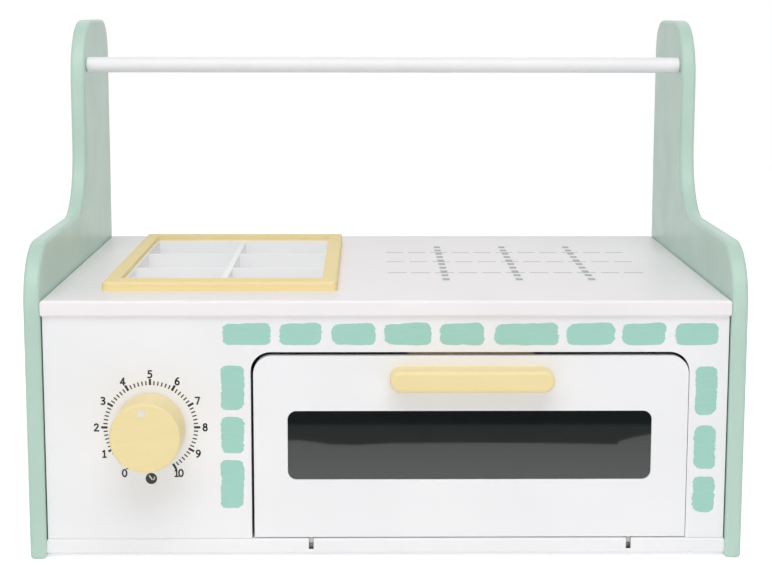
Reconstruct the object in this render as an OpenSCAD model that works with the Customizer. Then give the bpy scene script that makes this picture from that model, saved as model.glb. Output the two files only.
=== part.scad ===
// Table-top toy oven: a painted board cabinet with a drop-down oven door, a turning
// knob, a lift-out sorting tray in the worktop and a hanging rail between two columns.
// X runs to the right, Y to the back, Z up. Depths are counted from the front panel's face.

/* [Boards] */
// Clear width between the side panels
inner_w = 500; // [480:5:560]
// Thickness of the painted boards
board_t = 12; // [12:0.5:14]
// Rounding of the edges of the worktop and the base board
board_edge_r = 2.2; // [1.5:0.1:3]
// Thickness of the back panel
back_t = 3; // [2.5:0.5:5]

/* [Cabinet] */
// Depth of the side panels from front edge to back edge
side_depth = 375; // [370:5:420]
// How far the side panels stand in front of the front panel
side_lead = 4; // [3:0.5:8]
// How far the worktop stands in front of the front panel
worktop_lead = 3; // [2:0.5:5]
// How far the base board stands in front of the front panel
base_lead = 0.5; // [0:0.1:0.6]
// Height of the worktop's upper face
worktop_z = 193; // [190:1:205]
// Height of the gap under the base board
base_z = 3; // [2:0.5:6]
// Shadow gap between the front panel and each side panel
panel_gap = 1; // [0.5:0.25:2]
// Height that the back panel stays below the worktop's upper face
back_drop = 2; // [1:0.5:5]

/* [Side outline] */
// Rounding of the side panels' edges
side_edge_r = 3; // [2:0.5:4]
// Height of the side panels' low front part
shoulder_z = 232.5; // [225:0.5:250]
// Radius of the shoulder at the front
shoulder_r = 45; // [30:1:50]
// Radius of the hollow sweep from the shoulder up into the column
sweep_r = 54; // [40:1:60]
// Width of the column from front to back
column_w = 142; // [120:1:150]
// Height of the column's top
column_z = 391; // [380:1:420]
// Radius of the column's front top corner
column_front_r = 50; // [30:1:60]
// Radius of the column's back top corner
column_back_r = 28; // [15:1:40]

/* [Rail] */
// Diameter of the hanging rail
rail_d = 13; // [12:0.5:16]
// Height of the rail's centre
rail_z = 354; // [330:1:360]
// Distance of the rail's centre behind the column's front edge
rail_setback = 14.5; // [12:0.5:30]
// Chamfer on the rail's ends
rail_chamfer = 1.2; // [0.5:0.1:2]

/* [Door] */
// Width of the front panel to the right of the door opening
door_margin = 29; // [28:1:34]
// Width of the door
door_w = 317.5; // [300:0.5:325]
// Height of the door
door_h = 136; // [125:1:137]
// Gap at the left of the door
door_left_gap = 2; // [1:0.1:2.2]
// Gap at the right of the door, which hangs closer to that side
door_right_gap = 0.5; // [0.5:0.1:2]
// Gap between the door and the base board
door_low_gap = 0.9; // [0.9:0.1:2]
// Gap above the door
door_top_gap = 2.8; // [2.5:0.1:3.2]
// Radius of the door's upper corners
door_r = 13.5; // [6:0.5:20]
// Bevel on the back of the door's upper edge, which eases it into the opening
door_ease = 5; // [3:0.5:5.5]

/* [Window] */
// Width of the window pane's recess
window_w = 266.5; // [240:0.5:280]
// Height of the window pane's recess
window_h = 51.5; // [40:0.5:56]
// Height of the window's centre above the door's lower edge
window_rise = 69.3; // [60:0.1:72]
// Distance of the window's centre to the left of the door's centre
window_shift = 0.8; // [0:0.1:2]
// Corner radius of the window
window_r = 6.5; // [3:0.5:8]
// Thickness of the tinted pane
pane_t = 3; // [2:0.5:4]
// Depth of the pane's face behind the door's face
pane_recess = 0.8; // [0.3:0.1:1.5]
// Width of the ledge that the pane is bonded to
pane_ledge = 4; // [3:0.5:6]
// Gap round the edge of the pane
pane_gap = 0.2; // [0.1:0.05:0.4]

/* [Handle] */
// Width of the door handle
handle_w = 119; // [100:1:140]
// Height of the door handle
handle_h = 16; // [13:0.5:18]
// Depth of the door handle
handle_d = 20; // [18:0.5:24]
// Height of the handle's centre above the door's lower edge
handle_rise = 120.3; // [118:0.1:122]
// Rounding of the handle's front edges
handle_edge_r = 3; // [2:0.5:5]
// Distance between the two handle screws
handle_pitch = 80; // [64:1:84]

/* [Knob] */
// Distance of the knob's axis from the left side panel
knob_inset = 77.7; // [65:0.1:82]
// Height of the knob's centre
knob_z = 98.9; // [85:0.1:115]
// Diameter of the knob
knob_d = 51; // [44:1:60]
// Length of the knob
knob_l = 34; // [30:0.5:36]
// Rounding of the knob's front edge
knob_edge_r = 2.2; // [1.5:0.1:4]
// Diameter of the white marker in the knob's face
marker_d = 5.8; // [5:0.1:8]
// Distance of the marker from the knob's axis
marker_offset = 18.5; // [14:0.5:19]
// Turn of the marker to the left of straight up
marker_turn = 7; // [0:1:30]
// Diameter of the knob's bolt
bolt_d = 5; // [4:0.5:6]

/* [Hinges] */
// Distance of each hinge from the door's centre
hinge_offset = 117.2; // [90:0.1:125]
// Distance of the hinge pin behind the front panel's face
hinge_y = 3; // [2.9:0.05:3.1]
// Depth of the hinge pin below the base board's upper face
hinge_drop = 2.9; // [2.6:0.1:3]
// Diameter of the hinge barrels
barrel_d = 9.5; // [9.3:0.1:10]
// Diameter of the hinge pins
hinge_pin_d = 2; // [1.6:0.1:2.2]
// Thickness of the hinge arm
hinge_arm_t = 3; // [2.4:0.1:3.2]
// Width of the notch that the hinge arm swings through
notch_w = 3.6; // [3.5:0.1:4.2]
// Radius of the notch about the hinge pin
notch_r = 6.3; // [5.5:0.1:6.4]

/* [Door stop] */
// Width of the door stop block
stop_w = 92; // [60:1:120]
// Height of the door stop block
stop_h = 40; // [36:1:42]
// Thickness of the door stop block
stop_t = 15; // [12:0.5:18]
// Height that the stop block reaches down behind the door
stop_lap = 22; // [20.5:0.5:24]
// Diameter of the magnet
magnet_d = 10; // [8:0.5:12]
// Thickness of the magnet
magnet_t = 4; // [3:0.5:6]
// Diameter of the steel strike disc on the door
strike_d = 14; // [12:0.5:16]
// Thickness of the strike disc
strike_t = 1.2; // [1:0.1:2]
// Wood left under the magnet
magnet_margin = 4; // [3:0.5:6]
// Distance of the block's screws from its ends
stop_screw_inset = 12; // [8:1:20]
// Distance of the block's screws from its top
stop_screw_drop = 9; // [7:0.5:11]

/* [Tray] */
// Distance of the tray rim from the left side panel
tray_inset = 38.5; // [30:0.5:50]
// Distance of the tray rim behind the front panel's face
tray_y = 40; // [35:1:50]
// Width of the tray rim
rim_w = 175; // [165:1:185]
// Length of the tray rim from front to back
rim_l = 288; // [270:1:300]
// Height of the tray rim
rim_t = 7; // [6:0.5:9]
// Width of the rim's side bars
rim_side_bar = 11.5; // [10.5:0.5:13]
// Width of the rim's front and back bars
rim_end_bar = 21.5; // [16:0.5:24]
// Corner radius of the rim
rim_r = 3.5; // [2.6:0.1:6]
// Rounding of the rim's upper edges
rim_edge_r = 2; // [1:0.1:2.5]
// Depth of the tray's walls from their top to the underside of the bottom
tray_h = 40; // [30:1:41]
// Thickness of the tray's walls
tray_wall = 4; // [3.5:0.5:5]
// Thickness of the tray's bottom
tray_floor = 3; // [2:0.5:4]
// Thickness of the tray's dividers
divider_t = 4; // [3:0.5:5]
// Height of the walls' top above the worktop
tray_lift = 3.4; // [2.5:0.1:4]
// Height that the dividers' top stays below the walls' top
divider_drop = 0.8; // [0:0.1:2]
// Width of the wall top that shows inside the rim
tray_reveal = 1.5; // [1:0.1:2]
// Rows of compartments from front to back
tray_rows = 3; // [2:1:4]
// Gap round the tray walls in the worktop's cut-out
tray_gap = 1; // [0.5:0.1:1.5]

/* [Fasteners] */
// Diameter of the cabinet screws
screw_d = 4; // [3.5:0.1:4.5]
// Length of the cabinet screws
screw_l = 40; // [30:1:42]
// Distance of the cabinet screws from the boards' front and back edges
screw_inset = 60; // [40:1:80]
// Length of the handle screws
handle_screw_l = 26; // [22:1:28]
// Diameter of the small screws
small_screw_d = 3; // [2.5:0.1:3.2]
// Length of the small screws
small_screw_l = 16; // [12:1:18]
// Diameter of the panel dowels
dowel_d = 6; // [5:0.5:6.5]
// Length of the panel dowels
dowel_l = 24; // [20:1:26]
// Depth of the dowels in the worktop and the base board
dowel_seat = 9; // [6:0.5:10]
// Distance of the outer dowels from the left side panel
dowel_inset = 25; // [15:1:40]
// Distance of the middle dowel from the door opening
dowel_margin = 26; // [10:1:30]
// Distance of the back panel's outer screws from the side panels
back_screw_inset = 30; // [15:1:60]
// Screws along each long edge of the back panel
back_screw_count = 4; // [2:1:6]

/* [Hidden] */
$fn = 96;

// Clearances
fixed_fit = 0.05;
running_fit = 0.06;
eps = 0.5;

// Cabinet places
half_w = inner_w / 2;
side_front = -side_lead;
side_back = side_front + side_depth;
board_back = side_back - back_t;
worktop_low = worktop_z - board_t;
base_top = base_z + board_t;
column_front = side_back - column_w;
rail_y = column_front + rail_setback;
panel_w = inner_w - 2 * panel_gap;
screw_rows = [screw_inset, board_back - screw_inset];

// Door places
door_low = base_top + door_low_gap;
door_top = door_low + door_h;
opening_w = door_w + door_left_gap + door_right_gap;
opening_x = half_w - door_margin - opening_w / 2;
opening_top = door_top + door_top_gap;
opening_r = door_r + (door_left_gap + door_right_gap) / 2;
door_x = opening_x + (door_left_gap - door_right_gap) / 2;
window_z = door_low + window_rise;
handle_z = door_low + handle_rise;
hinge_z = base_top - hinge_drop;
hinge_xs = [door_x - hinge_offset, door_x + hinge_offset];
barrel_y = board_t / 2;
hinge_floor_t = 2;
base_barrel_l = board_t - hinge_floor_t;
door_barrel_l = 12;
hinge_slot_gap = 0.15;
hinge_slot_w = hinge_arm_t + 2 * hinge_slot_gap;
hinge_slot_back = 2.6;
hinge_eye_wall = 1.1;
hinge_eye_r = hinge_pin_d / 2 + hinge_eye_wall;
hinge_pin_l = 2 * sqrt(pow(barrel_d / 2, 2) - pow(barrel_y - hinge_y + hinge_pin_d / 2, 2));
hinge_arm_front = 1.4;
hinge_arm_back = 2;
hinge_arm_root = 1;

// Door stop places
stop_low = door_top - stop_lap;
magnet_z = stop_low + magnet_d / 2 + magnet_margin;
stop_screw_z = stop_low + stop_h - stop_screw_drop;
stop_screw_pitch = stop_w - 2 * stop_screw_inset;
screw_tip_cover = 4;
stop_screw_l = stop_t + board_t - screw_tip_cover;
strike_screw_l = 9;

// Knob places
knob_x = knob_inset - half_w;
spacer_t = 1;
washer_t = 1;
washer_d = 3 * bolt_d;
knob_back = -spacer_t;
knob_front = knob_back - knob_l;
insert_wall = 1.5;
insert_d = bolt_d + 2 * insert_wall;
insert_l = 16;
bolt_reach = 14;
marker_t = 2;
marker_sink = 0.3;

// Tray places
tray_x = tray_inset + rim_w / 2 - half_w;
rim_open_w = rim_w - 2 * rim_side_bar;
rim_open_l = rim_l - 2 * rim_end_bar;
box_w = rim_open_w - 2 * tray_reveal + 2 * tray_wall;
box_l = rim_open_l - 2 * tray_reveal + 2 * tray_wall;
box_in_w = box_w - 2 * tray_wall;
box_in_l = box_l - 2 * tray_wall;
tray_mid_y = tray_y + rim_l / 2;
cell_l = (box_in_l - (tray_rows - 1) * divider_t) / tray_rows;
divider_fit = 0.1;
divider_top = tray_lift - divider_drop;
divider_h = tray_h - tray_floor - divider_drop;

// The origin lies on the ground under the middle of the whole model
model_mid_y = (knob_front + side_back) / 2;

// Colours
mint = [0.73, 0.82, 0.78];
white = [0.94, 0.94, 0.94];
yellow = [0.94, 0.86, 0.64];
tinted = [0.20, 0.21, 0.21];
pine = [0.72, 0.62, 0.42];
steel = [0.72, 0.73, 0.74];
zinc = [0.78, 0.78, 0.76];
nylon = [0.90, 0.90, 0.86];

// Rectangle from the origin with one radius for its upper and one for its lower corners
module rounded_rect(w, h, upper_r, lower_r) {
  difference() {
    square([w, h]);
    if (upper_r > 0)
      for (side = [0, 1])
        translate([side * w, h]) corner_waste(upper_r, 1 - 2 * side, -1);
    if (lower_r > 0)
      for (side = [0, 1])
        translate([side * w, 0]) corner_waste(lower_r, 1 - 2 * side, 1);
  }
}

// What a corner of radius r loses; the signs point from the corner into the shape
module corner_waste(r, sx, sy) {
  mirror([sx < 0 ? 1 : 0, 0]) mirror([0, sy < 0 ? 1 : 0]) difference() {
    translate([-eps, -eps]) square(r + eps);
    translate([r, r]) circle(r);
  }
}

// Upright plate: a 2D shape drawn as X and Z, from y to y + t
module plate(y, t) {
  translate([0, y + t, 0]) rotate([90, 0, 0]) linear_extrude(t) children();
}

// Plate across the cabinet: a 2D shape drawn as Y and Z, from x to x + t
module crosswise(x, t) {
  translate([x, 0, 0]) rotate([90, 0, 90]) linear_extrude(t) children();
}

// Cylinder along X or Y, from its start point
module rod_x(x, y, z, d, l) {
  translate([x, y, z]) rotate([0, 90, 0]) cylinder(d = d, h = l);
}

module rod_y(x, y, z, d, l) {
  translate([x, y, z]) rotate([-90, 0, 0]) cylinder(d = d, h = l);
}

// Countersunk screw with a hexagon socket, its head's face at z = 0 and its shank below
module screw(d, l) {
  difference() {
    union() {
      translate([0, 0, -l]) cylinder(d1 = 0.3 * d, d2 = d, h = d);
      translate([0, 0, -l + d]) cylinder(d = d, h = l - d);
      translate([0, 0, -d / 2]) cylinder(d1 = d, d2 = 2 * d, h = d / 2);
    }
    translate([0, 0, -0.4 * d]) cylinder(d = 0.9 * d, h = d, $fn = 6);
  }
}

// The hole that the screw fits, open above its head
module screw_hole(d, l) {
  hole_d = d + 2 * fixed_fit;
  translate([0, 0, -l - fixed_fit]) cylinder(d = hole_d, h = l);
  translate([0, 0, -d / 2 - fixed_fit]) cylinder(d1 = hole_d, d2 = hole_d + d, h = d / 2);
  translate([0, 0, -fixed_fit]) cylinder(d = hole_d + d, h = eps);
}

// Places of the screws through the side panels, heads outwards
module at_side_screws(sides) {
  for (side = sides, y = screw_rows, z = [base_z + board_t / 2, worktop_z - board_t / 2])
    translate([side * (half_w + board_t), y, z]) rotate([0, side * 90, 0]) children();
}

module at_rail_screws(sides) {
  for (side = sides)
    translate([side * (half_w + board_t), rail_y, rail_z]) rotate([0, side * 90, 0]) children();
}

// Places of the dowels between the front panel and the boards below and above it
module at_panel_dowels() {
  left_x = dowel_inset - half_w;
  inner_x = opening_x - opening_w / 2 - dowel_margin;
  right_x = (opening_x + opening_w / 2 + half_w) / 2;
  for (x = [left_x, inner_x, right_x]) translate([x, board_t / 2, base_top - dowel_seat]) children();
  for (x = [left_x, opening_x - opening_w / 4, right_x])
    translate([x, board_t / 2, worktop_low + dowel_seat - dowel_l]) children();
}

// Places of the screws that hold the back panel, heads to the back
module at_back_screws() {
  pitch = (inner_w - 2 * back_screw_inset) / (back_screw_count - 1);
  for (i = [0:back_screw_count - 1], z = [base_z + board_t / 2, worktop_z - board_t / 2])
    translate([back_screw_inset - half_w + i * pitch, side_back, z]) rotate([-90, 0, 0]) children();
}

module at_stop_screws() {
  for (side = [-1, 1])
    translate([door_x + side * stop_screw_pitch / 2, board_t + stop_t, stop_screw_z])
      rotate([-90, 0, 0]) children();
}

module at_handle_screws() {
  for (side = [-1, 1])
    translate([door_x + side * handle_pitch / 2, board_t, handle_z]) rotate([-90, 0, 0]) children();
}

// Side outline drawn as Y and Z, drawn in by inset all round
module side_outline(inset) {
  low_w = side_depth - 2 * inset;
  top_w = column_w - 2 * inset;
  hub = [column_front - sweep_r, shoulder_z + sweep_r];
  difference() {
    union() {
      translate([side_front + inset, inset]) square([low_w, shoulder_z - 2 * inset]);
      translate([column_front + inset, inset]) square([top_w, column_z - 2 * inset]);
      translate([hub[0], shoulder_z - inset]) square([sweep_r + inset, sweep_r + inset]);
    }
    translate(hub) circle(sweep_r + inset);
    translate([side_front + inset, shoulder_z - inset]) corner_waste(shoulder_r - inset, 1, -1);
    translate([column_front + inset, column_z - inset]) corner_waste(column_front_r - inset, 1, -1);
    translate([side_back - inset, column_z - inset]) corner_waste(column_back_r - inset, -1, -1);
  }
}

// Half round section of a side panel's edge: x from 0 at the core to the skin, y its thickness
module edge_section() {
  r = side_edge_r;
  intersection() {
    square([r, board_t]);
    union() {
      translate([0, r]) square([r, board_t - 2 * r]);
      for (y = [r, board_t - r]) translate([0, y]) circle(r);
    }
  }
}

// Straight edge from a point of the core, with its skin to the left of the run
module edge_run(from, l, turn) {
  translate(from) rotate([0, 0, turn]) rotate([90, 0, 90]) linear_extrude(l) edge_section();
}

// Quarter turn of outward edge with its skin at radius r about a centre
module edge_bend(centre, r, start) {
  translate(centre) rotate([0, 0, start]) rotate_extrude(angle = 90)
    translate([r - side_edge_r, 0]) edge_section();
}

// Quarter turn of hollow edge with its skin at radius r about a centre
module hollow_bend(centre, r, start) {
  translate(centre) rotate([0, 0, start]) rotate_extrude(angle = 90)
    translate([r + side_edge_r, 0]) mirror([1, 0]) edge_section();
}

// Side panel lying flat: drawn as Y and Z, its thickness upwards
module side_blank() {
  r = side_edge_r;
  hub_y = column_front - sweep_r;
  hub_z = shoulder_z + sweep_r;
  shoulder_y = side_front + shoulder_r;
  front_bend_y = column_front + column_front_r;
  back_bend_y = side_back - column_back_r;
  linear_extrude(board_t) side_outline(r);
  // front edge and shoulder
  edge_run([side_front + r, r], shoulder_z - shoulder_r - r, 90);
  edge_bend([shoulder_y, shoulder_z - shoulder_r], shoulder_r, 90);
  edge_run([shoulder_y, shoulder_z - r], hub_y - shoulder_y, 0);
  // hollow sweep and column
  hollow_bend([hub_y, hub_z], sweep_r, -90);
  edge_run([column_front + r, hub_z], column_z - column_front_r - hub_z, 90);
  edge_bend([front_bend_y, column_z - column_front_r], column_front_r, 90);
  edge_run([front_bend_y, column_z - r], back_bend_y - front_bend_y, 0);
  edge_bend([back_bend_y, column_z - column_back_r], column_back_r, 0);
  // back edge, lower edge and lower corners
  edge_run([side_back - r, column_z - column_back_r], column_z - column_back_r - r, -90);
  edge_run([side_back - r, r], side_depth - 2 * r, 180);
  edge_bend([side_front + r, r], r, 180);
  edge_bend([side_back - r, r], r, 270);
}

// Side panel with its screw holes; side is -1 for the left one and 1 for the right one
module side_panel(side) {
  difference() {
    translate([side < 0 ? -half_w - board_t : half_w, 0, 0]) rotate([90, 0, 90]) side_blank();
    at_side_screws([side]) screw_hole(screw_d, screw_l);
    at_rail_screws([side]) screw_hole(screw_d, screw_l);
  }
}

module side_panel_left() {
  color(mint) side_panel(-1);
}

module side_panel_right() {
  color(mint) side_panel(1);
}

// Board between the side panels with rounded edges, from front to board_back
module cross_board(front, low) {
  r = board_edge_r;
  intersection() {
    crosswise(-half_w, inner_w)
      translate([front, low]) rounded_rect(board_back - front, board_t, r, r);
    plate(front - eps, board_back - front + 2 * eps)
      translate([-half_w, low]) rounded_rect(inner_w, board_t, r, r);
  }
}

module worktop() {
  color(white) difference() {
    cross_board(-worktop_lead, worktop_low);
    translate([tray_x - box_w / 2 - tray_gap, tray_mid_y - box_l / 2 - tray_gap, worktop_low - eps])
      cube([box_w + 2 * tray_gap, box_l + 2 * tray_gap, board_t + 2 * eps]);
    at_side_screws([-1, 1]) screw_hole(screw_d, screw_l);
    at_panel_dowels() dowel_hole();
    at_back_screws() screw_hole(small_screw_d, small_screw_l);
  }
}

module base_board() {
  color(white) difference() {
    cross_board(-base_lead, base_z);
    at_side_screws([-1, 1]) screw_hole(screw_d, screw_l);
    at_panel_dowels() dowel_hole();
    at_back_screws() screw_hole(small_screw_d, small_screw_l);
    for (x = hinge_xs) {
      hinge_notch(x, notch_w);
      translate([x, barrel_y, base_top - base_barrel_l - fixed_fit])
        cylinder(d = barrel_d + 2 * fixed_fit, h = base_barrel_l + eps);
    }
  }
}

// Disc-shaped cut round the hinge pin
module hinge_notch(x, w) {
  rod_x(x - w / 2, hinge_y, hinge_z, 2 * notch_r, w);
}

module dowel_hole() {
  translate([0, 0, -fixed_fit]) cylinder(d = dowel_d + 2 * fixed_fit, h = dowel_l + 2 * fixed_fit);
}

module front_panel() {
  color(white) difference() {
    plate(0, board_t) difference() {
      translate([-panel_w / 2, base_top]) square([panel_w, worktop_low - base_top]);
      translate([opening_x - opening_w / 2, base_top - eps])
        rounded_rect(opening_w, opening_top - base_top + eps, opening_r, 0);
    }
    rod_y(knob_x, -eps, knob_z, bolt_d + 2 * running_fit, board_t + 2 * eps);
    at_panel_dowels() dowel_hole();
    at_stop_screws() screw_hole(screw_d, stop_screw_l);
  }
}

module back_panel() {
  color(white) difference() {
    plate(board_back, back_t)
      translate([-panel_w / 2, base_z + back_drop])
        square([panel_w, worktop_z - base_z - 2 * back_drop]);
    at_back_screws() screw_hole(small_screw_d, small_screw_l);
  }
}

module rail() {
  color(white) difference() {
    translate([-half_w, rail_y, rail_z]) rotate([0, 90, 0]) {
      cylinder(d1 = rail_d - 2 * rail_chamfer, d2 = rail_d, h = rail_chamfer);
      translate([0, 0, rail_chamfer]) cylinder(d = rail_d, h = inner_w - 2 * rail_chamfer);
      translate([0, 0, inner_w - rail_chamfer])
        cylinder(d1 = rail_d, d2 = rail_d - 2 * rail_chamfer, h = rail_chamfer);
    }
    at_rail_screws([-1, 1]) screw_hole(screw_d, screw_l);
  }
}

module rail_screws() {
  color(zinc) at_rail_screws([-1, 1]) screw(screw_d, screw_l);
}

module side_screws() {
  color(zinc) at_side_screws([-1, 1]) screw(screw_d, screw_l);
}

module panel_dowels() {
  color(pine) at_panel_dowels() cylinder(d = dowel_d, h = dowel_l);
}

module back_screws() {
  color(zinc) at_back_screws() screw(small_screw_d, small_screw_l);
}

module door_stop_block() {
  color(pine) difference() {
    translate([door_x - stop_w / 2, board_t, stop_low]) cube([stop_w, stop_t, stop_h]);
    at_stop_screws() screw_hole(screw_d, stop_screw_l);
    rod_y(door_x, board_t - eps, magnet_z, magnet_d + 2 * fixed_fit, magnet_t + eps);
  }
}

module stop_screws() {
  color(zinc) at_stop_screws() screw(screw_d, stop_screw_l);
}

module catch_magnet() {
  color(steel) rod_y(door_x, board_t, magnet_z, magnet_d, magnet_t);
}

module hinge_base_barrels() {
  color(steel) for (x = hinge_xs) difference() {
    translate([x, barrel_y, base_top - base_barrel_l]) cylinder(d = barrel_d, h = base_barrel_l);
    intersection() {
      hinge_notch(x, hinge_slot_w);
      translate([x - board_t, hinge_y + hinge_slot_back - 2 * board_t, base_z])
        cube([2 * board_t, 2 * board_t, 2 * board_t]);
    }
    rod_x(x - board_t, hinge_y, hinge_z, hinge_pin_d + 2 * fixed_fit, 2 * board_t);
  }
}

module hinge_pins() {
  color(steel) for (x = hinge_xs) rod_x(x - hinge_pin_l / 2, hinge_y, hinge_z, hinge_pin_d, hinge_pin_l);
}

module hinge_door_barrels() {
  color(steel) for (x = hinge_xs) difference() {
    union() {
      translate([x, barrel_y, door_low]) cylinder(d = barrel_d, h = door_barrel_l);
      rod_x(x - hinge_arm_t / 2, hinge_y, hinge_z, 2 * hinge_eye_r, hinge_arm_t);
      translate([x - hinge_arm_t / 2, hinge_y - hinge_arm_front, hinge_z])
        cube([hinge_arm_t, hinge_arm_front + hinge_arm_back, door_low - hinge_z + hinge_arm_root]);
    }
    rod_x(x - board_t, hinge_y, hinge_z, hinge_pin_d + 2 * running_fit, 2 * board_t);
  }
}

module door_panel() {
  color(white) difference() {
    plate(0, board_t) translate([door_x - door_w / 2, door_low]) rounded_rect(door_w, door_h, door_r, 0);
    plate(-eps, eps + pane_recess + pane_t) window_shape(0);
    plate(-eps, board_t + 2 * eps) window_shape(pane_ledge);
    for (x = hinge_xs)
      translate([x, barrel_y, door_low - eps])
        cylinder(d = barrel_d + 2 * fixed_fit, h = door_barrel_l + eps + fixed_fit);
    at_handle_screws() screw_hole(screw_d, handle_screw_l);
    rod_y(door_x, board_t - strike_t - fixed_fit, magnet_z, strike_d + 2 * fixed_fit, strike_t + eps);
    translate([door_x, board_t, magnet_z]) rotate([-90, 0, 0]) screw_hole(small_screw_d, strike_screw_l);
    crosswise(door_x - door_w / 2 - eps, door_w + 2 * eps) door_ease_waste();
  }
}

// What the back of the door's upper edge loses, drawn as Y and Z
module door_ease_waste() {
  translate([board_t, door_top])
    polygon([[eps, eps], [-door_ease - eps, eps], [eps, -door_ease - eps]]);
}

// Window outline drawn in by inset all round
module window_shape(inset) {
  r = max(1, window_r - inset);
  translate([door_x - window_shift - window_w / 2 + inset, window_z - window_h / 2 + inset])
    rounded_rect(window_w - 2 * inset, window_h - 2 * inset, r, r);
}

module door_window() {
  color(tinted) plate(pane_recess, pane_t) window_shape(pane_gap);
}

// Handle: a bar with half-round ends, its front edges rounded
module door_handle() {
  color(yellow) difference() {
    translate([door_x, 0, handle_z]) {
      translate([-(handle_w - handle_h) / 2, 0, 0]) rotate([90, 0, 90])
        linear_extrude(handle_w - handle_h) {
          handle_section();
          mirror([0, 1]) handle_section();
        }
      for (side = [-1, 1])
        translate([side * (handle_w - handle_h) / 2, 0, 0]) rotate([90, side * 90, 0])
          rotate_extrude(angle = 180) handle_end_section();
    }
    at_handle_screws() screw_hole(screw_d, handle_screw_l);
  }
}

// Upper half of the handle's section, drawn as Y and Z
module handle_section() {
  translate([-handle_d, 0]) difference() {
    square([handle_d, handle_h / 2]);
    translate([0, handle_h / 2]) corner_waste(handle_edge_r, 1, -1);
  }
}

// The same half drawn as radius and distance from the door
module handle_end_section() {
  difference() {
    square([handle_h / 2, handle_d]);
    translate([handle_h / 2, handle_d]) corner_waste(handle_edge_r, -1, -1);
  }
}

module handle_screws() {
  color(zinc) at_handle_screws() screw(screw_d, handle_screw_l);
}

module strike_disc() {
  color(steel) difference() {
    rod_y(door_x, board_t - strike_t, magnet_z, strike_d, strike_t);
    translate([door_x, board_t, magnet_z]) rotate([-90, 0, 0]) screw_hole(small_screw_d, strike_screw_l);
  }
}

module strike_screw() {
  color(zinc) translate([door_x, board_t, magnet_z]) rotate([-90, 0, 0]) screw(small_screw_d, strike_screw_l);
}

// Frame of the knob: z runs out of the front panel, y up
module on_knob_axis(y) {
  translate([knob_x, y, knob_z]) rotate([90, 0, 0]) children();
}

module knob() {
  back_edge_r = 1;
  color(yellow) difference() {
    on_knob_axis(knob_back) rotate_extrude() difference() {
      square([knob_d / 2, knob_l]);
      translate([knob_d / 2, knob_l]) corner_waste(knob_edge_r, -1, -1);
      translate([knob_d / 2, 0]) corner_waste(back_edge_r, -1, 1);
    }
    on_knob_axis(knob_back) translate([0, 0, -eps])
      cylinder(d = insert_d + 2 * fixed_fit, h = insert_l + eps + fixed_fit);
    marker_place() cylinder(d = marker_d + 2 * fixed_fit, h = marker_t + marker_sink + eps);
  }
}

// Foot of the marker's recess in the knob's face
module marker_place() {
  on_knob_axis(knob_front)
    rotate([0, 0, marker_turn]) translate([0, marker_offset, -marker_t - marker_sink]) children();
}

module knob_marker() {
  color(white) marker_place() cylinder(d = marker_d, h = marker_t);
}

module knob_insert() {
  color(zinc) on_knob_axis(knob_back) difference() {
    cylinder(d = insert_d, h = insert_l);
    translate([0, 0, -eps]) cylinder(d = bolt_d + 2 * fixed_fit, h = bolt_reach + eps + fixed_fit);
  }
}

module knob_bolt() {
  head_h = 0.6 * bolt_d;
  color(steel) on_knob_axis(board_t + washer_t) difference() {
    union() {
      cylinder(d = bolt_d, h = board_t + washer_t + spacer_t + bolt_reach);
      translate([0, 0, -head_h]) cylinder(d = 1.8 * bolt_d, h = head_h);
    }
    translate([0, 0, -head_h - eps]) cylinder(d = 0.7 * bolt_d, h = 0.6 * head_h + eps, $fn = 6);
  }
}

module knob_washer() {
  color(zinc) on_knob_axis(board_t + washer_t) ring(washer_d, washer_t);
}

module knob_spacer() {
  color(nylon) on_knob_axis(0) ring(washer_d, spacer_t);
}

// Flat ring round the knob's bolt
module ring(d, t) {
  difference() {
    cylinder(d = d, h = t);
    translate([0, 0, -eps]) cylinder(d = bolt_d + 2 * running_fit, h = t + 2 * eps);
  }
}

// Frame of the tray: its middle at the worktop's upper face
module on_tray() {
  translate([tray_x, tray_mid_y, worktop_z]) children();
}

module tray_rim() {
  rebate_fit = 0.2;
  color(yellow) on_tray() difference() {
    intersection() {
      linear_extrude(rim_t) translate([-rim_w / 2, -rim_l / 2]) rounded_rect(rim_w, rim_l, rim_r, rim_r);
      plate(-rim_l, 2 * rim_l) translate([-rim_w / 2, 0]) rounded_rect(rim_w, rim_t, rim_edge_r, 0);
      crosswise(-rim_w, 2 * rim_w) translate([-rim_l / 2, 0]) rounded_rect(rim_l, rim_t, rim_edge_r, 0);
    }
    middle_box(rim_open_w, rim_open_l, -eps, rim_t + eps);
    middle_box(box_w + 2 * rebate_fit, box_l + 2 * rebate_fit, -eps, tray_lift);
  }
}

// Box centred on the tray, from one height to another above the worktop
module middle_box(w, l, low, high) {
  translate([-w / 2, -l / 2, low]) cube([w, l, high - low]);
}

module tray_side_walls() {
  color(white) on_tray() for (side = [-1, 1])
    translate([side * (box_w - tray_wall) / 2 - tray_wall / 2, -box_l / 2, tray_lift - tray_h])
      cube([tray_wall, box_l, tray_h]);
}

module tray_end_walls() {
  color(white) on_tray() for (side = [-1, 1])
    translate([-box_in_w / 2, side * (box_l - tray_wall) / 2 - tray_wall / 2, tray_lift - tray_h])
      cube([box_in_w, tray_wall, tray_h]);
}

module tray_bottom() {
  color(white) on_tray() middle_box(box_in_w, box_in_l, tray_lift - tray_h, tray_lift - tray_h + tray_floor);
}

module tray_long_divider() {
  slot_w = divider_t + 2 * divider_fit;
  color(white) on_tray() difference() {
    middle_box(divider_t, box_in_l, divider_top - divider_h, divider_top);
    for (y = cross_divider_ys())
      translate([-divider_t, y - slot_w / 2, divider_top - divider_h / 2])
        cube([2 * divider_t, slot_w, divider_h]);
  }
}

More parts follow.
